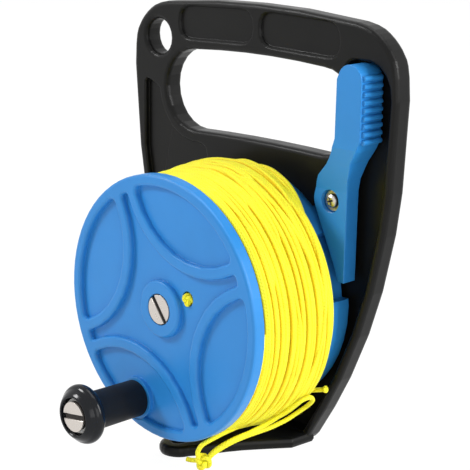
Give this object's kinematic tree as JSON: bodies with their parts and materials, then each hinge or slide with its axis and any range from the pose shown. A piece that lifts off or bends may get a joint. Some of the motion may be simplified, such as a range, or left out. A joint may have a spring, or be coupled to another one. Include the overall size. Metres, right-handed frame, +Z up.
{
  "type": "dive reel",
  "caption": "Hand-held line reel: flat frame with a grip opening and foot arm, wound spool with crank knob, and a side lever that locks the spool.",
  "frame": {"origin": "middle of the box round the reel without its free line, on the plane that the foot stands on", "axes": "+X to the lever's side, +Y from the crank knob to the frame's back, +Z up to the grip"},
  "size_m": [0.1918, 0.1216, 0.2288],
  "materials": {
    "black_plastic": "satin",
    "knob_plastic": "gloss",
    "blue_plastic": "satin",
    "steel": "brushed",
    "nylon": "satin",
    "line": "braided"
  },
  "bodies": {
    "frame": {"frame": "black_plastic", "axle_screw": "steel", "axle_washer": "nylon", "axle_barrel": "steel", "spring_washer": "steel", "drag_washer": "nylon", "lever_bush": "steel", "lever_washer": "steel", "lever_screw": "steel", "line_standing": "line", "line_loop": "line", "line_knot": "line", "line_tail": "line"},
    "spool": {"spool_front": "blue_plastic", "spool_rear": "blue_plastic", "spool_screw_1": "steel", "spool_screw_2": "steel", "spool_screw_3": "steel", "crank_post": "steel", "crank_washer": "nylon", "crank_screw": "steel", "line_core": "line", "line_winding": "line", "line_end": "line", "anchor_knot": "line"},
    "knob": {"crank_knob": "knob_plastic"},
    "lever": {"lock_lever": "blue_plastic"}
  },
  "joints": [
    {"name": "spool_spin", "type": "hinge", "parent": "frame", "child": "spool", "pos_m": [0, -0.01895, 0.08], "axis": [0, 1, 0], "continuous": true},
    {"name": "knob_spin", "type": "hinge", "parent": "spool", "child": "knob", "pos_m": [-0.01913, -0.01895, 0.02801], "axis": [0, 1, 0], "continuous": true},
    {"name": "lever_pivot", "type": "hinge", "parent": "frame", "child": "lever", "pos_m": [0.0566, 0.04605, 0.1351], "axis": [0, 1, 0], "range_deg": [-2, 6]}
  ]
}
